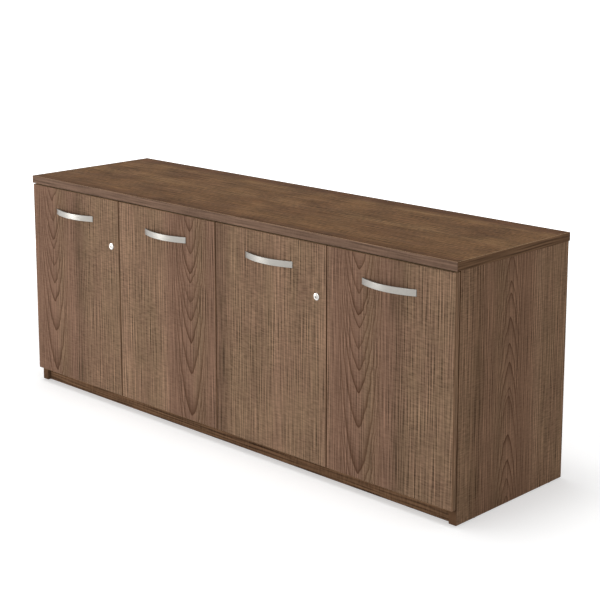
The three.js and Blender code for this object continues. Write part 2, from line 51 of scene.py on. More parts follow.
# Sizes that the solids' boxes don't give by themselves, in metres
END_THICK = 25.4 * MM
PARTITION_THICK = 19 * MM
TOP_EASE = 1.5 * MM
BAND_EASE = 0.7 * MM
DOOR_EASE = 1.5 * MM
PANEL_EASE = 0.5 * MM
PULL_FOOT = 15 * MM
PULL_STRAP = 4 * MM
PULL_END = 1.6 * MM
PULL_EASE = 0.7 * MM
PULL_BORE = 2.2 * MM
HOLE_RADIUS = 2.5 * MM
HOLE_DEPTH = 8.5 * MM
HOLE_PITCH = 32 * MM
HOLE_ROW_INSET = 70 * MM
SUPPORT_REACH = 8 * MM
SUPPORT_THICK = 3.5 * MM
SUPPORT_HALF = 4.5 * MM
SUPPORT_EASE = 0.5 * MM
STEM_BORE = 4.15 * MM
STEM_ROOM = 0.15 * MM
CUP_CENTRE = 22.3 * MM
CUP_RADIUS = 17.65 * MM
CUP_DEPTH = 12.15 * MM
CUP_FLANGE = 0.9 * MM
WING_MIDDLE = 24.8 * MM
WING_SCREW = 25.5 * MM
PLATE_THICK = 2.5 * MM
PLATE_BACK = 71.6 * MM
PLATE_SCREW = 16 * MM
ARM_FACE = 12.5 * MM
ARM_SCREWS = (60 * MM, 84 * MM)
LOCK_BORE = 9.15 * MM
NUT_BORE = 9.05 * MM
NUT_RADIUS = 12.5 * MM
NUT_SHORT = 0.3 * MM
KEYWAY_HALF = (1.5 * MM, 4 * MM)
KEYWAY_DEPTH = 9 * MM
TAIL_HALF = 3.5 * MM
SMALL_EASE = 0.3 * MM
BOLT_RADIUS = 4 * MM
BOLT_SOCKET = 4.6 * MM
BOLT_SOCKET_DEPTH = 13 * MM
GUIDE_WALL = 1.6 * MM
GUIDE_SCREW_OUT = 10.2 * MM
GUIDE_SCREW_INSET = 8 * MM
STRIKE_THICK = 1.2 * MM
STRIKE_HALF = (19 * MM, 9 * MM)
STRIKE_HOLE = 4.8 * MM
STRIKE_EASE = 0.4 * MM
STRIKE_SCREW_OUT = 13 * MM
BUFFER_INSET = 12 * MM

# Screw heads: radius and height, in millimetres
PULL_HEAD = (4.2, 2.2)
WING_HEAD = (3.2, 1.3)
GUIDE_HEAD = (2.6, 1.2)
PLATE_HEAD = (3.6, 1.8)
ARM_HEAD = (3.2, 1.2)
STRIKE_HEAD = (2.8, 0.7)
TAIL_HEAD = (5, 2.2)

# Sides of the round bores, and the angles past which an edge is sharp to the eye and square to the easing
HOLE_SIDES = 16
SOCKET_SIDES = 24
LOCK_SIDES = 32
CUP_SIDES = 40
SHARP = math.radians(35)
SQUARE = math.radians(40)
# Two points this near are one, a vertex this near a strap's end is on it, and a face this square to an axis
# is flat
SAME_POINT = 1e-7
SAME_PLACE = 1e-6
FLUSH = 0.999
# How much more the flats count than their eased edges when normals are evened, the cuts along a pull's
# strap, and the steps round a turned piece
FLATS_WEIGHT = 100
PULL_CUTS = 47
TURN_STEPS = 40

DOORS = (1, 2, 3, 4)
LOCKED = (1, 3)
BOLTED = (2, 4)

# Camera: from the right front corner, a little above the top; the shift keeps the uprights nearly upright
IMAGE_PIXELS = 600
FOCAL_PIXELS = 1470.9
SENSOR = 36
CAMERA_SHIFT = -0.18
CAMERA_PLACE = (3.1696, -3.1442, 1.5951)
CAMERA_DIP = 10.678
CAMERA_TURN = 44.140
CAMERA_REACH = 100
camera_data = bpy.data.cameras.new("corner_camera")
camera_data.sensor_width = SENSOR
camera_data.lens = FOCAL_PIXELS / IMAGE_PIXELS * SENSOR
camera_data.shift_y = CAMERA_SHIFT
camera_data.clip_end = CAMERA_REACH
camera = bpy.data.objects.new("corner_camera", camera_data)
camera.location = CAMERA_PLACE
camera.rotation_euler = (math.radians(90 - CAMERA_DIP), 0, math.radians(CAMERA_TURN))
scene.collection.objects.link(camera)
scene.camera = camera


def linear(code):
    """An sRGB hex code as linear red, green, blue and alpha."""
    parts = [int(code[i:i + 2], 16) / 255 for i in (1, 3, 5)]
    return [c / 12.92 if c <= 0.04045 else ((c + 0.055) / 1.055) ** 2.4 for c in parts] + [1.0]


def greys(levels):
    """Colour stops from pairs of a position and a level of grey."""
    return [(position, (level, level, level, 1.0)) for position, level in levels]


def feed(tree, node, links):
    """Sets a node's sockets to values or to other nodes' outputs; a node stands for its first output."""
    for key, value in links.items():
        if isinstance(value, bpy.types.Node):
            value = value.outputs[0]
        if isinstance(value, bpy.types.NodeSocket):
            tree.links.new(value, node.inputs[key])
        else:
            node.inputs[key].default_value = value


def add(tree, kind, links=None, stops=None, **settings):
    """Adds one node with its settings, its colour stops, and its sockets' values or links."""
    node = tree.nodes.new(kind)
    for key, value in settings.items():
        setattr(node, key, value)
    if stops:
        ramp = node.color_ramp.elements
        while len(ramp) < len(stops):
            ramp.new(1.0)
        for element, (position, colour) in zip(ramp, stops):
            element.position = position
            element.color = colour
    feed(tree, node, links or {})
    return node


def start_material(name):
    """A new material with its tree, its shader and the object's own coordinates."""
    material = bpy.data.materials.new(name)
    material.use_nodes = True
    tree = material.node_tree
    coordinates = add(tree, "ShaderNodeTexCoord").outputs["Object"]
    return material, tree, tree.nodes["Principled BSDF"], coordinates


# How a panel's own axes turn into the print's: x across the grain, z along it
GRAIN_UP_FRONT = (0.0, 0.0, 0.0)
GRAIN_UP_SIDE = (0.0, 0.0, -math.pi / 2)
GRAIN_DOWN_SIDE = Matrix(((0, -1, 0), (-1, 0, 0), (0, 0, -1))).to_euler()
GRAIN_LONG_FLAT = Matrix(((0, 1, 0), (0, 0, 1), (1, 0, 0))).to_euler()
GRAIN_LONG_FRONT = Matrix(((0, 0, 1), (0, -1, 0), (1, 0, 0))).to_euler()
GRAIN_DEEP_SIDE = Matrix(((0, 0, 1), (1, 0, 0), (0, 1, 0))).to_euler()

# The printed paper, in millimetres. It repeats across the grain, and an arch closes at each tip along the
# heart, measured down from where the sheet starts. An arch leaves its tip at a slope and steepens by the
# width squared
REPEAT = 692
DOOR_TIPS = (48, 115, 182, 208, 274, 331, 398, 500, 637)
END_TIPS = (24, 75, 130, 204, 313, 336, 407, 456, 531, 600, 631)
TIP_SPACING = 75
RING_REACH = 1640
DOOR_ARCH = (1.5, 0.0007)
END_ARCH = (2.0, 0.001)
TIP_ROUND = 4
WAVER = 12
JOG = 26
# Its slow bands, by their distance across from the heart
BANDS = (
    (-346, "plain"), (-320, "tan"), (-250, "plain"), (-160, "plain"), (-130, "tan"), (-95, "rose"),
    (0, "rose"), (40, "plain"), (95, "rose"), (137, "olive"), (185, "plain"), (346, "plain"),
)
# Its finer features across, through and along the grain, with the number of finer octaves and a step across;
# the pores are at their real size, and the threads, the gaps between them and the ripples, near 1 mm too, are
# drawn several times coarser to show from across a room
PRINT_LAYERS = {
    "waver": ((45, 60, 60), 2, 0),
    "blush": ((60, 170, 150), 2, 0),
    "streak": ((15, 60, 160), 2, 0),
    "thread": ((4.2, 40, 160), 0, 0),
    "between": ((4.2, 40, 160), 0, 4.5),
    "pore": ((0.9, 30, 14), 1, 0),
    "cross": ((18, 90, 3.4), 0, 0),
    "patch": ((110, 170, 160), 2, 0),
    "cloud": ((80, 170, 110), 1, 0),
}
BROADENED = ("streak", "blush")
OCTAVE_FALL = 0.6
WALNUT = {"plain": "#7F6752", "tan": "#896E59", "rose": "#7E6251", "olive": "#644F3F"}
END_WALNUT = {"plain": "#7F654F", "tan": "#886C56", "rose": "#7F624E", "olive": "#68513E"}
# The top's browner tones are also painted darker, as shade against the stronger light from above
BROWN_TOP_SHADE_WALNUT = {"plain": "#644930", "tan": "#6D5237", "rose": "#573C28", "olive": "#4E3420"}
GREY_WALNUT = {"plain": "#735C4D", "tan": "#796152", "rose": "#71594B", "olive": "#6B5546"}
# Darker tones for edge bands; on the toe kick they are painted shade for its recess under the doors
DARK_BAND_AND_KICK_SHADE_WALNUT = {"plain": "#674E3A", "tan": "#6C533F", "rose": "#644A37", "olive": "#604733"}
WALNUT_LINE = "#4A3224"
# How dark an arch's line is from one ring to the next: sharp at its tip, broader on its flanks
TIP_LINE = ((0.0, 0.0), (0.45, 0.08), (0.7, 0.3), (0.86, 0.65), (0.95, 1.0), (1.0, 0.0))
FLANK_LINE = ((0.0, 0.0), (0.35, 0.03), (0.66, 0.3), (0.82, 0.7), (0.94, 0.75), (1.0, 0.0))
FAINTEST_LINE = 0.65
# Where features change with the distance from the heart, by its square in square metres
TIP_TO_FLANK = (0.00005, 0.0012)
ARCHES_FADE = (0.001, 0.012)
THREADS_RISE = (0.001, 0.01)
RIPPLES_RISE = (0.006, 0.03)
# What is left of the arches far from the heart, what the threads lose at it, and the ripples that it keeps
FAR_ARCHES = 0.1
HEART_THREAD_LOSS = 0.3
HEART_RIPPLES = 0.55
# How strongly each feature shades the ground, which span of its noise counts, and a noise's middle
STREAK_DEPTH = 0.22
THREAD_DEPTH = 1.25
PORE_DEPTH = 0.5
CLOUD_DEPTH = 0.45
RIPPLE_DEPTH = 0.8
BLUSH_SPAN = (0.4, 0.65)
BLUSH_DEPTH = 0.5
PATCH_SPAN = (0.38, 0.62)
PATCH_LEAST = 0.6
NOISE_MIDDLE = 0.5
# The pressed surface: roughness that follows the streaks, a shallow relief, and next to no sheen
SATIN_SPAN = (0.25, 0.75)
SATIN = (0.6, 0.5)
SATIN_RELIEF = 0.12
SATIN_RELIEF_DEPTH = 0.2 * MM
SATIN_SHEEN = 0.012
PLASTIC_IOR = 1.5


def walnut_laminate(
    name, turn, heart, tips=DOOR_TIPS, arch=DOOR_ARCH, figure=1.0,
    broad=1.0, depth=1.0, thread=1.0, ripple=1.0, tones=WALNUT,
):
    """Melamine board with a printed walnut paper, pressed between satin plates: fine lines along the grain,
    slow bands from olive to tan with a rosy blush, nested arches along the heart, and cross ripples."""
    material, tree, shader, coordinates = start_material(name)
    slope, steepening = arch
    start = (-heart[0] - WAVER / 2 * MM, 0.0, -heart[1] + (JOG / 2 + TIP_ROUND * slope) * MM)
    turned_to = {"Vector": coordinates, "Rotation": turn, "Location": start}
    place = add(tree, "ShaderNodeMapping", turned_to)
    axes = add(tree, "ShaderNodeSeparateXYZ", {0: place})
    layer = {}
    for word, (size, octaves, step) in PRINT_LAYERS.items():
        wide = broad if word in BROADENED else 1.0
        scale = (METRE / size[0] / wide, METRE / size[1], METRE / size[2])
        drawn = {0: place, 1: scale, 2: (step / size[0], 0, 0)}
        stretched = add(tree, "ShaderNodeVectorMath", drawn, operation="MULTIPLY_ADD")
        noise = {"Vector": stretched, "Scale": 1.0, "Detail": octaves, "Roughness": OCTAVE_FALL}
        layer[word] = add(tree, "ShaderNodeTexNoise", noise).outputs["Fac"]

    # Across the grain from the nearest heart, wavering a little
    half = REPEAT / 2 * MM
    across = add(tree, "ShaderNodeMath", {0: axes.outputs["X"], 1: half, 2: -half}, operation="WRAP")
    sway = {0: layer["waver"], 1: WAVER * MM, 2: across}
    bent = add(tree, "ShaderNodeMath", sway, operation="MULTIPLY_ADD")
    squared = {0: bent, 1: bent, 2: (TIP_ROUND * MM) ** 2}
    away = add(tree, "ShaderNodeMath", squared, operation="MULTIPLY_ADD")

    # The arches: growth rings cut at a slant, each darkening to its outer edge
    aside = add(tree, "ShaderNodeMath", {0: away}, operation="SQRT")
    steeper = {0: away, 1: steepening / MM ** 2, 2: slope}
    steep = add(tree, "ShaderNodeMath", steeper, operation="MULTIPLY_ADD")
    below = add(tree, "ShaderNodeMath", {0: axes.outputs["Z"], 1: -1.0}, operation="MULTIPLY")
    smooth = add(tree, "ShaderNodeMath", {0: aside, 1: steep, 2: below}, operation="MULTIPLY_ADD")
    jogged = {0: layer["waver"], 1: JOG * MM, 2: smooth}
    deep = add(tree, "ShaderNodeMath", jogged, operation="MULTIPLY_ADD")
    run = add(tree, "ShaderNodeMapRange", {"Value": deep, "From Max": RING_REACH * MM})
    rings = len(tips) + (RING_REACH - tips[-1]) / TIP_SPACING
    rungs = [(tip / RING_REACH, (k + 1) / rings) for k, tip in enumerate(tips)]
    ladder = add(tree, "ShaderNodeValToRGB", {0: run}, greys([(0.0, 0.0), *rungs, (1.0, 1.0)]))
    ring = add(tree, "ShaderNodeMath", {0: ladder, 1: rings}, operation="MULTIPLY")
    part = add(tree, "ShaderNodeMath", {0: ring}, operation="FRACT")
    count = add(tree, "ShaderNodeMath", {0: ring}, operation="FLOOR")
    sharp = add(tree, "ShaderNodeValToRGB", {0: part}, greys(TIP_LINE))
    broader = add(tree, "ShaderNodeValToRGB", {0: part}, greys(FLANK_LINE))
    flanks = {"Value": away, "From Min": TIP_TO_FLANK[0], "From Max": TIP_TO_FLANK[1]}
    outer = add(tree, "ShaderNodeMapRange", flanks)
    wood = add(tree, "ShaderNodeMix", {0: outer, 2: sharp, 3: broader})
    chance = add(tree, "ShaderNodeTexWhiteNoise", {"W": count}, noise_dimensions="1D")
    fade = {"Value": away, "From Min": ARCHES_FADE[0], "From Max": ARCHES_FADE[1]}
    fade["To Min"] = figure
    fade["To Max"] = FAR_ARCHES * figure
    near = add(tree, "ShaderNodeMapRange", fade, interpolation_type="SMOOTHSTEP")
    weight = add(tree, "ShaderNodeMapRange", {"Value": chance, "To Min": FAINTEST_LINE})
    shown = add(tree, "ShaderNodeMath", {0: near, 1: weight}, operation="MULTIPLY")
    line = add(tree, "ShaderNodeMath", {0: wood, 1: shown}, operation="MULTIPLY")

    # The bands and their blush
    band = add(tree, "ShaderNodeMapRange", {"Value": bent, "From Min": -half, "From Max": half})
    stops = [((at + REPEAT / 2) / REPEAT, linear(tones[tone])) for at, tone in BANDS]
    ground = add(tree, "ShaderNodeValToRGB", {0: band}, stops)
    blush = {"Value": layer["blush"], "From Min": BLUSH_SPAN[0], "From Max": BLUSH_SPAN[1]}
    pinker = add(tree, "ShaderNodeMapRange", {**blush, "To Max": BLUSH_DEPTH})
    rosy = {0: pinker, 6: ground, 7: linear(tones["rose"])}
    warm = add(tree, "ShaderNodeMix", rosy, data_type="RGBA").outputs[2]

    # Streaks, pores and clouds, then the threads, calmer at the heart, and the ripples beyond it
    depths = {"streak": STREAK_DEPTH, "pore": PORE_DEPTH, "cloud": CLOUD_DEPTH}
    fine = 1 - depth * sum(depths.values()) * NOISE_MIDDLE
    for word, strength in depths.items():
        layered = {0: layer[word], 1: depth * strength, 2: fine}
        fine = add(tree, "ShaderNodeMath", layered, operation="MULTIPLY_ADD")
    most = thread * depth * THREAD_DEPTH
    calm = {"Value": away, "From Min": THREADS_RISE[0], "From Max": THREADS_RISE[1]}
    calm["To Min"] = (1 - HEART_THREAD_LOSS * figure) * most
    calm["To Max"] = most
    strength = add(tree, "ShaderNodeMapRange", calm)
    threads = add(tree, "ShaderNodeMath", {0: layer["thread"], 1: layer["between"]}, operation="SUBTRACT")
    fine = add(tree, "ShaderNodeMath", {0: threads, 1: strength, 2: fine}, operation="MULTIPLY_ADD")
    most = ripple * depth * RIPPLE_DEPTH
    clear = {"Value": away, "From Min": RIPPLES_RISE[0], "From Max": RIPPLES_RISE[1]}
    clear["To Min"] = HEART_RIPPLES * most
    clear["To Max"] = most
    beyond = add(tree, "ShaderNodeMapRange", clear)
    patchy = {"Value": layer["patch"], "From Min": PATCH_SPAN[0], "From Max": PATCH_SPAN[1]}
    patch = add(tree, "ShaderNodeMapRange", {**patchy, "To Min": PATCH_LEAST})
    where = add(tree, "ShaderNodeMath", {0: beyond, 1: patch}, operation="MULTIPLY")
    wave = add(tree, "ShaderNodeMath", {0: layer["cross"], 1: NOISE_MIDDLE}, operation="SUBTRACT")
    shaded = add(tree, "ShaderNodeMath", {0: wave, 1: where, 2: fine}, operation="MULTIPLY_ADD")
    toned = add(tree, "ShaderNodeHueSaturation", {"Value": shaded, "Color": warm})
    lined = {0: line, 6: toned, 7: linear(WALNUT_LINE)}
    colour = add(tree, "ShaderNodeMix", lined, data_type="RGBA").outputs[2]

    # The pressed surface
    satin = {"Value": layer["streak"], "From Min": SATIN_SPAN[0], "From Max": SATIN_SPAN[1]}
    gloss = add(tree, "ShaderNodeMapRange", {**satin, "To Min": SATIN[0], "To Max": SATIN[1]})
    pressed = {"Height": shaded, "Strength": SATIN_RELIEF, "Distance": SATIN_RELIEF_DEPTH}
    relief = add(tree, "ShaderNodeBump", pressed)
    feed(tree, shader, {"Base Color": colour, "Roughness": gloss, "Normal": relief})
    feed(tree, shader, {"IOR": PLASTIC_IOR, "Specular IOR Level": SATIN_SHEEN})
    return material


# How far gloss strays to each side, and the relief, on metal, moulded nylon and chipboard; the nylon's clouds
# and the board's flakes are in millimetres
METAL_STRAY = 0.06
METAL_RELIEF = 0.05
NYLON_STRAY = 0.05
NYLON_RELIEF = 0.2
GRIT_DEPTH = 0.05 * MM
NYLON_CLOUD = 8
FLAKE = 2.5
FLAKE_RELIEF = 0.3
FLAKE_DEPTH = 0.2 * MM
FLAKE_ROUGHNESS = 0.85


def plated_metal(name, colour, worn, roughness, size):
    """A plated metal: a slightly uneven tone, with brush or rolling lines, in millimetres, in its gloss."""
    material, tree, shader, coordinates = start_material(name)
    place = add(tree, "ShaderNodeMapping", {"Vector": coordinates, "Scale": [METRE / mm for mm in size]})
    lines = add(tree, "ShaderNodeTexNoise", {"Vector": place, "Scale": 1.0, "Detail": 2.0}).outputs["Fac"]
    mixed = {0: lines, 6: linear(colour), 7: linear(worn)}
    tone = add(tree, "ShaderNodeMix", mixed, data_type="RGBA").outputs[2]
    brushed = {"Value": lines, "To Min": roughness - METAL_STRAY, "To Max": roughness + METAL_STRAY}
    gloss = add(tree, "ShaderNodeMapRange", brushed)
    scratches = {"Height": lines, "Strength": METAL_RELIEF, "Distance": GRIT_DEPTH}
    relief = add(tree, "ShaderNodeBump", scratches)
    feed(tree, shader, {"Base Color": tone, "Roughness": gloss, "Normal": relief, "Metallic": 1.0})
    return material


def moulded_plastic(name, colour, shade, roughness, grit):
    """Moulded nylon: one tone with the faint cloud and fine grit of the mould."""
    material, tree, shader, coordinates = start_material(name)
    soft = {"Vector": coordinates, "Scale": METRE / NYLON_CLOUD, "Detail": 1.0}
    cloud = add(tree, "ShaderNodeTexNoise", soft).outputs["Fac"]
    gritty = {"Vector": coordinates, "Scale": METRE / grit, "Detail": 1.0}
    grain = add(tree, "ShaderNodeTexNoise", gritty).outputs["Fac"]
    mixed = {0: cloud, 6: linear(colour), 7: linear(shade)}
    tone = add(tree, "ShaderNodeMix", mixed, data_type="RGBA").outputs[2]
    skin = {"Value": grain, "To Min": roughness - NYLON_STRAY, "To Max": roughness + NYLON_STRAY}
    gloss = add(tree, "ShaderNodeMapRange", skin)
    pitted = {"Height": grain, "Strength": NYLON_RELIEF, "Distance": GRIT_DEPTH}
    relief = add(tree, "ShaderNodeBump", pitted)
    feed(tree, shader, {"Base Color": tone, "Roughness": gloss, "Normal": relief, "IOR": PLASTIC_IOR})
    return material


def chip_core(name):
    """The bare chipboard inside a bore: pale flakes a few millimetres long in a browner binder."""
    material, tree, shader, coordinates = start_material(name)
    chips = {"Vector": coordinates, "Scale": METRE / FLAKE}
    flakes = add(tree, "ShaderNodeTexVoronoi", chips).outputs["Distance"]
    mixed = {0: flakes, 6: linear("#B79A74"), 7: linear("#8C6E4C")}
    tone = add(tree, "ShaderNodeMix", mixed, data_type="RGBA").outputs[2]
    torn = {"Height": flakes, "Strength": FLAKE_RELIEF, "Distance": FLAKE_DEPTH}
    relief = add(tree, "ShaderNodeBump", torn)
    feed(tree, shader, {"Base Color": tone, "Roughness": FLAKE_ROUGHNESS, "Normal": relief})
    return material


# Laminates, one for each run of the print; the heart and the sheet's start are across and along its grain, in
# metres. The four doors are cut side by side from one sheet, and the ends from another, turned end for end
door_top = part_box("door_1")[1].z
end_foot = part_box("left_end_panel")[0].z
door_laminate = walnut_laminate("walnut laminate doors", GRAIN_UP_FRONT, (-0.115, door_top))
end_print = {"tips": END_TIPS, "arch": END_ARCH, "depth": 0.95, "tones": END_WALNUT}
end_laminates = {
    "left": walnut_laminate("walnut laminate left end", GRAIN_DOWN_SIDE, (-0.06, -end_foot), **end_print),
    "right": walnut_laminate("walnut laminate right end", GRAIN_DOWN_SIDE, (0.005, -end_foot), **end_print),
}
# The top's paper is browner and cloudier, and its tones are painted darker as shade, against the stronger
# light from above; its dark band runs along the front edge
top_shade_print = {"figure": 0.0, "broad": 2.2, "depth": 2.0, "thread": 0.55, "ripple": 0.9, "tones": BROWN_TOP_SHADE_WALNUT}
top_shaded_laminate = walnut_laminate("walnut laminate top in painted shade", GRAIN_LONG_FLAT, (0.32, 0.4), **top_shade_print)
# The toe kick's darker tones are painted shade, for its recess under the doors
kick_shade_print = {"figure": 0.0, "tones": DARK_BAND_AND_KICK_SHADE_WALNUT}
kick_shaded_laminate = walnut_laminate("walnut laminate toe kick in painted shade", GRAIN_LONG_FRONT, (0.2, 0.1), **kick_shade_print)
upright_laminate = walnut_laminate("walnut laminate case uprights", GRAIN_UP_SIDE, (0.1, 0.69))
back_laminate = walnut_laminate("walnut laminate case backs", GRAIN_UP_FRONT, (0.21, 0.69))
shelf_laminate = walnut_laminate("walnut laminate case levels", GRAIN_LONG_FLAT, (0.02, 0.6))

# Edge bands: extruded strips printed with straight grain only, and hardly a ripple
strip_print = {"figure": 0.0, "depth": 0.8, "ripple": 0.25}
grey_print = {"tones": GREY_WALNUT, **strip_print}
dark_print = {"tones": DARK_BAND_AND_KICK_SHADE_WALNUT, **strip_print}
upright_print = {"tones": END_WALNUT, **strip_print}
upright_band = walnut_laminate("walnut edge band upright", GRAIN_UP_SIDE, (0.7, 0.1), **upright_print)
long_band = walnut_laminate("walnut edge band long", GRAIN_LONG_FRONT, (0.5, 0.3), **grey_print)
deep_band = walnut_laminate("walnut edge band deep", GRAIN_DEEP_SIDE, (0.4, 0.6), **dark_print)
flat_band = walnut_laminate("walnut edge band flat", GRAIN_LONG_FLAT, (0.4, 0.2), **dark_print)
front_print = {**grey_print, "depth": 1.0, "thread": 0.6}
front_band = walnut_laminate("walnut edge band top", GRAIN_LONG_FRONT, (0.5, 0.7), **front_print)
chipboard = chip_core("bare chipboard")

# Satin nickel is plated over brushed zinc: grey, with lines along the strap, drawn coarser than their 0.1 mm
satin_nickel = plated_metal("satin nickel", "#97948F", "#898681", 0.34, (60, 1.2, 1.2))
# Bright nickel on the lock is plated over a turned and polished face
bright_nickel = plated_metal("bright nickel", "#C8C6C2", "#BAB7B2", 0.2, (3, 3, 3))
# Nickel-plated pressed steel is cooler, with the clouding of the rolled strip
plated_steel = plated_metal("nickel plated steel", "#C4C5C6", "#A9ABAD", 0.28, (6, 6, 6))
# The lock's keyway walls are brass, painted dark as the shade inside the slot
keyway_shade_brass = plated_metal("brass painted dark as keyway shade", "#4A3F2C", "#2C251A", 0.45, (2, 2, 2))
# Nylon is moulded black with a fine grit
black_nylon = moulded_plastic("black nylon", "#1C1C1D", "#262627", 0.55, 0.6)


def piece(name, shape, body, materials, replaces=()):
    """Makes a finished object from a shape that already stands in its place, and closes the shape."""
    mesh = bpy.data.meshes.new(name)
    shape.to_mesh(mesh)
    shape.free()
    for material in materials:
        mesh.materials.append(material)
    mesh.polygons.foreach_set("use_smooth", [True] * len(mesh.polygons))
    mesh.set_sharp_from_angle(angle=SHARP)
    thing = bpy.data.objects.new(name, mesh)
    scene.collection.objects.link(thing)
    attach(thing, body)
    if replaces:
        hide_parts(*replaces)
    return thing


def cut(thing, shape, material):
    """Takes a shape out of a piece; the cut faces show the given material."""
    mesh = bpy.data.meshes.new("cutter")
    shape.to_mesh(mesh)
    shape.free()
    mesh.materials.append(material)
    cutter = bpy.data.objects.new("cutter", mesh)
    scene.collection.objects.link(cutter)
    bores = thing.modifiers.new("bores", "BOOLEAN")
    bores.object = cutter
    bores.operation = "DIFFERENCE"
    bores.solver = "EXACT"
    bores.material_mode = "TRANSFER"
    bpy.context.view_layer.update()
    whole = thing.data
    graph = bpy.context.evaluated_depsgraph_get()
    thing.data = bpy.data.meshes.new_from_object(thing.evaluated_get(graph))
    thing.data.name = thing.name
    thing.modifiers.remove(bores)
    bpy.data.meshes.remove(whole)
    bpy.data.objects.remove(cutter)
    bpy.data.meshes.remove(mesh)
    thing.data.set_sharp_from_angle(angle=SHARP)


def even_normals(thing):
    """Keeps the flats flat between their eased edges."""
    weighted = thing.modifiers.new("even normals", "WEIGHTED_NORMAL")
    weighted.keep_sharp = True
    weighted.weight = FLATS_WEIGHT


def block(shape, lo, hi):
    """Adds a block between two corners and returns its vertices."""
    lo, hi = Vector(lo), Vector(hi)
    made = bmesh.ops.create_cube(shape, size=1.0)["verts"]
    bmesh.ops.scale(shape, vec=hi - lo, verts=made)
    bmesh.ops.translate(shape, vec=(lo + hi) / 2, verts=made)
    return made


def rod(shape, start, end, radius, sides=SOCKET_SIDES):
    """Adds a closed round bar from one point to another and returns its vertices."""
    start, end = Vector(start), Vector(end)
    along = end - start
    turn = along.to_track_quat("Z", "Y").to_matrix().to_4x4()
    place = Matrix.Translation((start + end) / 2) @ turn
    sizes = {"radius1": radius, "radius2": radius, "depth": along.length, "segments": sides}
    return bmesh.ops.create_cone(shape, cap_ends=True, matrix=place, **sizes)["verts"]


def ease(shape, verts, size, segments=3):
    """Rounds the square edges among the given vertices."""
    chosen = set(verts)
    edges = [e for e in shape.edges if chosen.issuperset(e.verts) and e.calc_face_angle(0) > SQUARE]
    rounded = {"affect": "EDGES", "segments": segments, "profile": 0.5, "material": -1}
    bmesh.ops.bevel(shape, geom=edges, offset=size, **rounded)


def turned(shape, profile, at, axis, steps=TURN_STEPS, ring=False):
    """Turns a profile of (radius, distance along the axis) round the axis; a ring joins its two ends."""
    at, axis = Vector(at), Vector(axis).normalized()
    out = axis.orthogonal().normalized()
    before = set(shape.verts)
    verts = [shape.verts.new(at + out * r + axis * a) for r, a in profile]
    edges = [shape.edges.new(pair) for pair in zip(verts, verts[1:])]
    if ring:
        edges.append(shape.edges.new((verts[-1], verts[0])))
    whole = {"angle": 2 * math.pi, "steps": steps, "use_merge": True}
    bmesh.ops.spin(shape, geom=verts + edges, cent=at, axis=axis, **whole)
    made = [v for v in shape.verts if v not in before]
    bmesh.ops.remove_doubles(shape, verts=made, dist=SAME_POINT)
    bmesh.ops.recalc_face_normals(shape, faces=shape.faces[:])
    return [v for v in shape.verts if v not in before]


def board(name, lo, hi, body, size, face, bands, flat, node):
    """A laminated panel with eased, banded edges; flat is the axis through its thickness."""
    shape = bmesh.new()
    ease(shape, block(shape, lo, hi), size)
    shape.normal_update()
    for skin in shape.faces:
        axis = max(range(3), key=lambda i: abs(skin.normal[i]))
        flush = axis == flat and abs(skin.normal[axis]) > FLUSH
        skin.material_index = 0 if flush else 1 + axis
    return piece(name, shape, body, [face, *bands], [node])


def centre(node):
    """The middle of a CAD node's box."""
    lo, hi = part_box(node)
    return (lo + hi) / 2


ALONG_X = Vector((1, 0, 0))
ALONG_Y = Vector((0, 1, 0))
ALONG_Z = Vector((0, 0, 1))
THROUGH_X = 0
THROUGH_Y = 1
THROUGH_Z = 2
UPRIGHT_BANDS = (upright_band, upright_band, flat_band)
LEVEL_BANDS = (deep_band, long_band, long_band)
TOP_BANDS = (deep_band, front_band, front_band)

top_lo, top_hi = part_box("top_panel")
door_lo, door_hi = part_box("door_1")
DOOR_FRONT = door_lo.y
DOOR_BACK = door_hi.y
shelf_lo, shelf_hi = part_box("left_shelf")
SUPPORT_Z = shelf_lo.z - SUPPORT_THICK / 2
HOLE_ROWS = (shelf_lo.y + HOLE_ROW_INSET, shelf_hi.y - HOLE_ROW_INSET)
HOLE_STEPS = (-3, -2, -1, 1, 2, 3)
bolt_places = {n: centre(f"bolt_guide_{n}").x for n in BOLTED}
BOLT_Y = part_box("bolt_rod_2")[0].y + BOLT_RADIUS

# Top, with sockets for the bolts
top_board = board(
    "top_board", top_lo, top_hi, "carcass",
    TOP_EASE, top_shaded_laminate, TOP_BANDS, THROUGH_Z, "top_panel",
)
sockets = bmesh.new()
for x in bolt_places.values():
    rod(sockets, (x, BOLT_Y, top_lo.z - MM), (x, BOLT_Y, top_lo.z + BOLT_SOCKET_DEPTH), BOLT_SOCKET)
cut(top_board, sockets, chipboard)
even_normals(top_board)


def shelf_holes(shape, face, into):
    """Adds the bores of one face's two rows, leaving out the holes that carry the supports."""
    for y in HOLE_ROWS:
        for step in HOLE_STEPS:
            z = SUPPORT_Z + step * HOLE_PITCH
            rod(shape, (face - into * MM, y, z), (face + into * HOLE_DEPTH, y, z), HOLE_RADIUS, HOLE_SIDES)


def glide_bores(shape, word):
    """Adds the bores for the stems of a panel's two glides."""
    for place in ("front", "back"):
        node = f"{word}_glide_{place}"
        middle = centre(node)
        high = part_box(node)[1].z + STEM_ROOM
        rod(shape, (middle.x, middle.y, 0), (middle.x, middle.y, high), STEM_BORE, HOLE_SIDES)


# Ends and partition, drilled for the shelves and the glides
inner_faces = {}
for word, side in (("left", -1), ("right", 1)):
    node = f"{word}_end_panel"
    lo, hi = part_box(node)
    if side < 0:
        hi.x = lo.x + END_THICK
    else:
        lo.x = hi.x - END_THICK
    inner_faces[word] = hi.x if side < 0 else lo.x
    end = board(
        f"{word}_end_board", lo, hi, "carcass",
        BAND_EASE, end_laminates[word], UPRIGHT_BANDS, THROUGH_X, node,
    )
    bores = bmesh.new()
    shelf_holes(bores, inner_faces[word], side)
    glide_bores(bores, word)
    cut(end, bores, chipboard)
    even_normals(end)

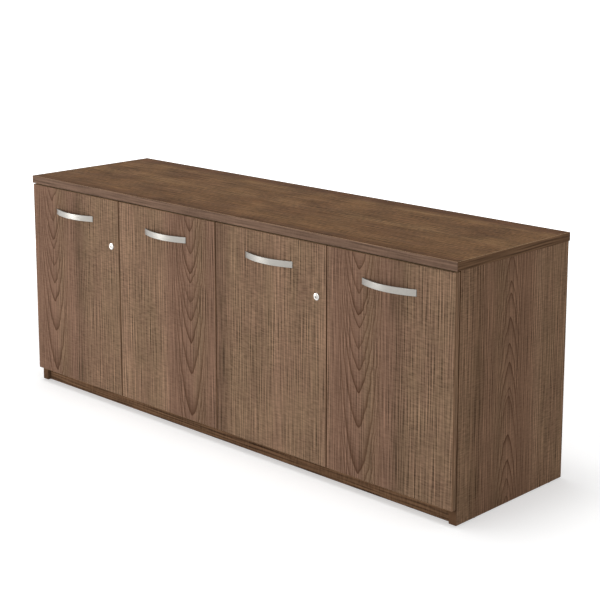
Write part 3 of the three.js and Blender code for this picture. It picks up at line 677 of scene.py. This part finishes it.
node = "centre_partition"
lo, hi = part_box(node)
lo.x = -PARTITION_THICK / 2
hi.x = PARTITION_THICK / 2
partition = board(
    "partition_board", lo, hi, "carcass",
    BAND_EASE, upright_laminate, UPRIGHT_BANDS, THROUGH_X, node,
)
kick_lo, kick_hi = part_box("toe_kick")
notch = bmesh.new()
block(notch, (-2 * PARTITION_THICK, lo.y - MM, 0), (2 * PARTITION_THICK, kick_hi.y, kick_hi.z))
cut(partition, notch, chipboard)
bores = bmesh.new()
shelf_holes(bores, lo.x, 1)
shelf_holes(bores, hi.x, -1)
glide_bores(bores, "centre")
cut(partition, bores, chipboard)
even_normals(partition)

# Bottoms, backs, shelves and toe kick
for word in ("left", "right"):
    for name, body, size, face, bands, flat, node in (
        ("bottom_board", "carcass", BAND_EASE, shelf_laminate, LEVEL_BANDS, THROUGH_Z, "bottom_panel"),
        ("back_board", "carcass", PANEL_EASE, back_laminate, UPRIGHT_BANDS, THROUGH_Y, "back_panel"),
        ("shelf_board", f"{word}_shelf", BAND_EASE, shelf_laminate, LEVEL_BANDS, THROUGH_Z, "shelf"),
    ):
        node = f"{word}_{node}"
        lo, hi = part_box(node)
        part = board(f"{word}_{name}", lo, hi, body, size, face, bands, flat, node)
        even_normals(part)
kick = board(
    "toe_kick_board", kick_lo, kick_hi, "carcass",
    PANEL_EASE, kick_shaded_laminate, LEVEL_BANDS, THROUGH_Y, "toe_kick",
)
even_normals(kick)

# Where each door is hinged, which way it runs from there, and the case's face that carries it
hinged, inward, case_face = {}, {}, {}
for n in DOORS:
    lo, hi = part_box(f"door_{n}")
    inward[n] = 1 if n in LOCKED else -1
    hinged[n] = lo.x if n in LOCKED else hi.x
    arm_lo, arm_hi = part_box(f"hinge_arm_{n}_lower")
    case_face[n] = arm_lo.x if n in LOCKED else arm_hi.x
hinge_heights = [centre(f"hinge_cup_1_{place}").z for place in ("lower", "upper")]
pull_lo, pull_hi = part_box("pull_1")
PULL_HOLE = (pull_hi.x - pull_lo.x - PULL_FOOT) / 2

# Doors, bored for cups, pull screws and locks
for n in DOORS:
    node = f"door_{n}"
    lo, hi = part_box(node)
    leaf = board(
        f"door_leaf_{n}", lo, hi, node,
        DOOR_EASE, door_laminate, UPRIGHT_BANDS, THROUGH_Y, node,
    )
    bores = bmesh.new()
    for z in hinge_heights:
        x = hinged[n] + inward[n] * CUP_CENTRE
        rod(bores, (x, DOOR_BACK - CUP_DEPTH, z), (x, DOOR_BACK + MM, z), CUP_RADIUS, CUP_SIDES)
    pull = centre(f"pull_{n}")
    for x in (pull.x - PULL_HOLE, pull.x + PULL_HOLE):
        rod(bores, (x, DOOR_FRONT - MM, pull.z), (x, DOOR_BACK + MM, pull.z), PULL_BORE, HOLE_SIDES)
    if n in LOCKED:
        lock = centre(f"lock_housing_{n}")
        front = (lock.x, DOOR_FRONT - MM, lock.z)
        rod(bores, front, (lock.x, DOOR_BACK + MM, lock.z), LOCK_BORE, LOCK_SIDES)
    cut(leaf, bores, chipboard)
    even_normals(leaf)

# Bow pulls: a strap bent off the door, thickening into a flat foot at each end
for n in DOORS:
    lo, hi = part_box(f"pull_{n}")
    middle = (lo.x + hi.x) / 2
    half = (hi.x - lo.x) / 2
    reach = hi.y - lo.y
    shape = bmesh.new()
    block(shape, (-1, -1, lo.z), (1, 1, hi.z))
    runs = [e for e in shape.edges if abs(e.verts[0].co.x - e.verts[1].co.x) > 1]
    bmesh.ops.subdivide_edges(shape, edges=runs, cuts=PULL_CUTS)
    ends = [e for e in shape.edges if all(abs(abs(v.co.x) - 1) < SAME_PLACE for v in e.verts)]
    heels = [e for e in ends if abs(e.verts[0].co.y - e.verts[1].co.y) > 1]
    bmesh.ops.subdivide_edges(shape, edges=heels, cuts=1)
    for v in shape.verts:
        along = v.co.x
        bow = 1 - along * along
        if v.co.y < -0.5:
            x = along * half
            out = PULL_END + (reach - PULL_END) * bow
        elif v.co.y > 0.5:
            x = along * (half - PULL_FOOT)
            out = (reach - PULL_STRAP) * bow
        else:
            x = along * half
            out = 0.0
        v.co = (middle + x, hi.y - out, v.co.z)
    bmesh.ops.recalc_face_normals(shape, faces=shape.faces[:])
    ease(shape, shape.verts[:], PULL_EASE)
    strap = piece(f"bow_pull_{n}", shape, f"door_{n}", [satin_nickel], [f"pull_{n}"])
    even_normals(strap)


# A screw head's outline, and the half length, half width and floor of its cross, in parts of its radius and
# height
PAN = ((0, 1), (0.5, 0.96), (0.82, 0.74), (0.97, 0.36), (1, 0), (0, 0))
PAN_STEPS = 20
CROSS = (0.55, 0.13)
CROSS_FLOOR = 0.45


def cross_head():
    """The mesh of a pan-head screw with a cross recess, of unit radius and height."""
    shape = bmesh.new()
    turned(shape, PAN, (0, 0, 0), ALONG_Z, steps=PAN_STEPS)
    mesh = bpy.data.meshes.new("screw_head")
    shape.to_mesh(mesh)
    shape.free()
    mesh.materials.append(plated_steel)
    head = bpy.data.objects.new("screw_head", mesh)
    scene.collection.objects.link(head)
    for long, wide in (CROSS, CROSS[::-1]):
        recess = bmesh.new()
        block(recess, (-long, -wide, CROSS_FLOOR), (long, wide, 2))
        cut(head, recess, plated_steel)
    mesh = head.data
    bpy.data.objects.remove(head)
    return mesh


screw_mesh = cross_head()


def screw(shape, at, axis, head):
    """Adds a screw head of a radius and height, in millimetres, that stands on a surface along an axis."""
    radius, height = head
    before = set(shape.verts)
    shape.from_mesh(screw_mesh)
    turn = Vector(axis).to_track_quat("Z", "Y").to_matrix().to_4x4()
    size = Matrix.Diagonal((radius * MM, radius * MM, height * MM, 1))
    made = [v for v in shape.verts if v not in before]
    bmesh.ops.transform(shape, matrix=Matrix.Translation(at) @ turn @ size, verts=made)


# Cam locks: a turned face and barrel held by a nut, and a plug that turns in it with its tail and screw; the
# outlines are in millimetres
for n in LOCKED:
    lo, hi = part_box(f"lock_housing_{n}")
    middle = Vector(((lo.x + hi.x) / 2, 0, (lo.z + hi.z) / 2))
    front = lo.y / MM
    back = hi.y / MM
    shoulder = DOOR_FRONT / MM
    shape = bmesh.new()
    face = [
        (5.8, back), (5.8, front + 0.4), (6.2, front + 0.1), (6.6, front), (9.4, front), (10.2, front + 0.25),
        (10.75, front + 0.75), (11, front + 1.4), (11, shoulder), (9, shoulder), (9, back),
    ]
    turned(shape, [(r * MM, a * MM) for r, a in face], middle, ALONG_Y, ring=True)
    piece(f"lock_face_{n}", shape, f"door_{n}", [bright_nickel], [f"lock_housing_{n}"])
    shape = bmesh.new()
    outer_end = (middle.x, hi.y - NUT_SHORT, middle.z)
    hexagon = rod(shape, (middle.x, DOOR_BACK, middle.z), outer_end, NUT_RADIUS, 6)
    ease(shape, hexagon, SMALL_EASE, 2)
    nut = piece(f"lock_nut_{n}", shape, f"door_{n}", [plated_steel])
    bore = bmesh.new()
    inner_end = (middle.x, DOOR_BACK - MM, middle.z)
    rod(bore, inner_end, (middle.x, hi.y + MM, middle.z), NUT_BORE, LOCK_SIDES)
    cut(nut, bore, plated_steel)
    plug_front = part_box(f"lock_plug_{n}")[0].y / MM
    cam_lo, cam_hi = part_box(f"lock_cam_{n}")
    shape = bmesh.new()
    core = [
        (0, plug_front), (4.7, plug_front), (5.2, plug_front + 0.15), (5.5, plug_front + 0.6),
        (5.5, cam_lo.y / MM), (0, cam_lo.y / MM),
    ]
    turned(shape, [(r * MM, a * MM) for r, a in core], middle, ALONG_Y)
    plug = piece(f"lock_core_{n}", shape, f"lock_{n}", [bright_nickel], [f"lock_plug_{n}"])
    keyway = bmesh.new()
    wide, tall = KEYWAY_HALF
    slot_lo = (middle.x - wide, plug_front * MM - MM, middle.z - tall)
    slot_hi = (middle.x + wide, plug_front * MM + KEYWAY_DEPTH, middle.z + tall)
    block(keyway, slot_lo, slot_hi)
    # The keyway's cut faces are painted dark: shade inside the slot
    cut(plug, keyway, keyway_shade_brass)
    shape = bmesh.new()
    tail_lo = (middle.x - TAIL_HALF, cam_lo.y, middle.z - TAIL_HALF)
    tail_hi = (middle.x + TAIL_HALF, cam_hi.y, middle.z + TAIL_HALF)
    ease(shape, block(shape, tail_lo, tail_hi), SMALL_EASE, 2)
    screw(shape, (middle.x, cam_hi.y, middle.z), ALONG_Y, TAIL_HEAD)
    piece(f"lock_tail_{n}", shape, f"lock_{n}", [plated_steel])

# Screws behind the pulls, on the hinges and on the bolt guides
for n in DOORS:
    shape = bmesh.new()
    pull = centre(f"pull_{n}")
    for x in (pull.x - PULL_HOLE, pull.x + PULL_HOLE):
        screw(shape, (x, DOOR_BACK, pull.z), ALONG_Y, PULL_HEAD)
    for z in hinge_heights:
        for side in (-1, 1):
            at = (hinged[n] + inward[n] * WING_MIDDLE, DOOR_BACK + CUP_FLANGE, z + side * WING_SCREW)
            screw(shape, at, ALONG_Y, WING_HEAD)
    if n in BOLTED:
        guide_lo, guide_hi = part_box(f"bolt_guide_{n}")
        for x in (bolt_places[n] - GUIDE_SCREW_OUT, bolt_places[n] + GUIDE_SCREW_OUT):
            for z in (guide_lo.z + GUIDE_SCREW_INSET, guide_hi.z - GUIDE_SCREW_INSET):
                screw(shape, (x, DOOR_BACK + GUIDE_WALL, z), ALONG_Y, GUIDE_HEAD)
    piece(f"door_screws_{n}", shape, f"door_{n}", [plated_steel])
    shape = bmesh.new()
    out = ALONG_X * inward[n]
    for z in hinge_heights:
        for side in (-1, 1):
            x = case_face[n] + inward[n] * PLATE_THICK
            screw(shape, (x, DOOR_FRONT + PLATE_BACK, z + side * PLATE_SCREW), out, PLATE_HEAD)
        for back in ARM_SCREWS:
            screw(shape, (case_face[n] + inward[n] * ARM_FACE, DOOR_FRONT + back, z), out, ARM_HEAD)
    piece(f"hinge_screws_{n}", shape, "carcass", [plated_steel])

# Strike plates for the bolts, under the top
for n, x in bolt_places.items():
    shape = bmesh.new()
    wide, deep = STRIKE_HALF
    lo = (x - wide, BOLT_Y - deep, top_lo.z - STRIKE_THICK)
    plate = block(shape, lo, (x + wide, BOLT_Y + deep, top_lo.z))
    ease(shape, plate, STRIKE_EASE, 2)
    strike = piece(f"bolt_strike_{n}", shape, "carcass", [plated_steel])
    hole = bmesh.new()
    rod(hole, (x, BOLT_Y, lo[2] - MM), (x, BOLT_Y, top_lo.z + MM), STRIKE_HOLE)
    cut(strike, hole, plated_steel)
    shape = bmesh.new()
    for place in (x - STRIKE_SCREW_OUT, x + STRIKE_SCREW_OUT):
        screw(shape, (place, BOLT_Y, lo[2]), -ALONG_Z, STRIKE_HEAD)
    piece(f"strike_screws_{n}", shape, "carcass", [plated_steel])

# Buffers that the doors close on, at the foot of each free edge; their outline is in millimetres
BUFFER_DOME = ((0, 1.3), (2.6, 1.2), (4, 0.75), (4.5, 0), (0, 0))
BUFFER_STEPS = 24
bottom_lo, bottom_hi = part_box("left_bottom_panel")
for n in DOORS:
    lo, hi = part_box(f"door_{n}")
    free = hi.x if n in LOCKED else lo.x
    shape = bmesh.new()
    at = Vector((free - inward[n] * BUFFER_INSET, DOOR_BACK, (bottom_lo.z + bottom_hi.z) / 2))
    turned(shape, [(r * MM, a * MM) for r, a in BUFFER_DOME], at, ALONG_Y, steps=BUFFER_STEPS)
    piece(f"door_buffer_{n}", shape, f"door_{n}", [black_nylon])

# Shelf supports: plated paddles that thin towards their ends
for word, faces in (
    ("left", ((inner_faces["left"], 1), (-PARTITION_THICK / 2, -1))),
    ("right", ((inner_faces["right"], -1), (PARTITION_THICK / 2, 1))),
):
    shape = bmesh.new()
    for wall, into in faces:
        for y in HOLE_ROWS:
            ends = sorted((wall, wall + into * SUPPORT_REACH))
            lo = (ends[0], y - SUPPORT_HALF, shelf_lo.z - SUPPORT_THICK)
            paddle = block(shape, lo, (ends[1], y + SUPPORT_HALF, shelf_lo.z))
            for v in paddle:
                if abs(v.co.x - wall) > SUPPORT_REACH / 2 and v.co.z < SUPPORT_Z:
                    v.co.z += SUPPORT_THICK / 2
            ease(shape, paddle, SUPPORT_EASE, 2)
    piece(f"{word}_shelf_supports", shape, "carcass", [plated_steel])

# Solids that stay as they are get their finishes
for name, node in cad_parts.items():
    if name.startswith(("hinge_", "lock_cam", "bolt_")):
        node.data.materials.clear()
        node.data.materials.append(plated_steel)
    elif "_glide_" in name:
        node.data.materials.clear()
        node.data.materials.append(black_nylon)

# Floor, light and backdrop
FLOOR_HALF = 25.0
FLOOR_ROUGHNESS = 0.9
FLOOR_LIFT = 0.42
FLOOR_SPREAD = (1.3, 3.2)
AMBIENT = 0.56


def background_rays(tree):
    """1 for camera, mirror and glass rays, which see the background; 0 for those that light the object."""
    path = add(tree, "ShaderNodeLightPath").outputs
    seen = {0: path["Is Camera Ray"], 1: path["Is Glossy Ray"]}
    seen = {0: add(tree, "ShaderNodeMath", seen, operation="MAXIMUM"), 1: path["Is Transmission Ray"]}
    return add(tree, "ShaderNodeMath", seen, operation="MAXIMUM")


# The floor takes the object's shadow, and glows to white away from it
floor_paint, tree, shader, coordinates = start_material("studio floor")
matt = {"Base Color": linear("#D8D8D8"), "Roughness": FLOOR_ROUGHNESS, "Specular IOR Level": 0.0}
feed(tree, shader, matt)
distance = add(tree, "ShaderNodeVectorMath", {0: coordinates}, operation="LENGTH").outputs["Value"]
spread = {"Value": distance, "From Min": FLOOR_SPREAD[0], "From Max": FLOOR_SPREAD[1], "To Min": FLOOR_LIFT}
sweep = add(tree, "ShaderNodeMapRange", spread, interpolation_type="SMOOTHSTEP")
lift = add(tree, "ShaderNodeMath", {0: background_rays(tree), 1: sweep}, operation="MULTIPLY")
glow = add(tree, "ShaderNodeEmission", {"Color": linear("#FFFFFF"), "Strength": lift})
both = add(tree, "ShaderNodeAddShader", {0: shader, 1: glow})
feed(tree, tree.nodes["Material Output"], {"Surface": both})
shape = bmesh.new()
bmesh.ops.create_grid(shape, x_segments=1, y_segments=1, size=FLOOR_HALF)
mesh = bpy.data.meshes.new("studio_floor")
shape.to_mesh(mesh)
shape.free()
mesh.materials.append(floor_paint)
floor = bpy.data.objects.new("studio_floor", mesh)
scene.collection.objects.link(floor)

# The backdrop is seen white, and lights the object more weakly
world = bpy.data.worlds.new("white studio")
scene.world = world
world.use_nodes = True
tree = world.node_tree
ambient = tree.nodes["Background"]
feed(tree, ambient, {"Color": linear("#FFFFFF"), "Strength": AMBIENT})
backdrop = add(tree, "ShaderNodeBackground", {"Color": linear("#FFFFFF"), "Strength": 1.0})
shown = add(tree, "ShaderNodeMixShader", {0: background_rays(tree), 1: ambient, 2: backdrop})
feed(tree, tree.nodes["World Output"], {"Surface": shown})

# A box overhead and a little to the left, a front box on the doors, a low one that shines in the pulls, and a
# weak fill on the right end
LIT_POINT = Vector((0, 0, 0.35))
for name, place, wide, tall, power in (
    ("overhead_softbox", (-0.7, -0.5, 8.0), 3.0, 3.0, 270),
    ("front_softbox", (-1.2, -7.0, 2.2), 3.0, 2.0, 120),
    ("low_softbox", (-3.95, -3.7, 0.36), 1.3, 0.65, 60),
    ("fill_softbox", (6.5, -1.0, 3.2), 3.0, 3.0, 26),
):
    lamp = bpy.data.lights.new(name, "AREA")
    lamp.shape = "RECTANGLE"
    lamp.size = wide
    lamp.size_y = tall
    lamp.energy = power
    light = bpy.data.objects.new(name, lamp)
    light.location = place
    light.rotation_euler = (LIT_POINT - Vector(place)).to_track_quat("-Z", "Y").to_euler()
    scene.collection.objects.link(light)
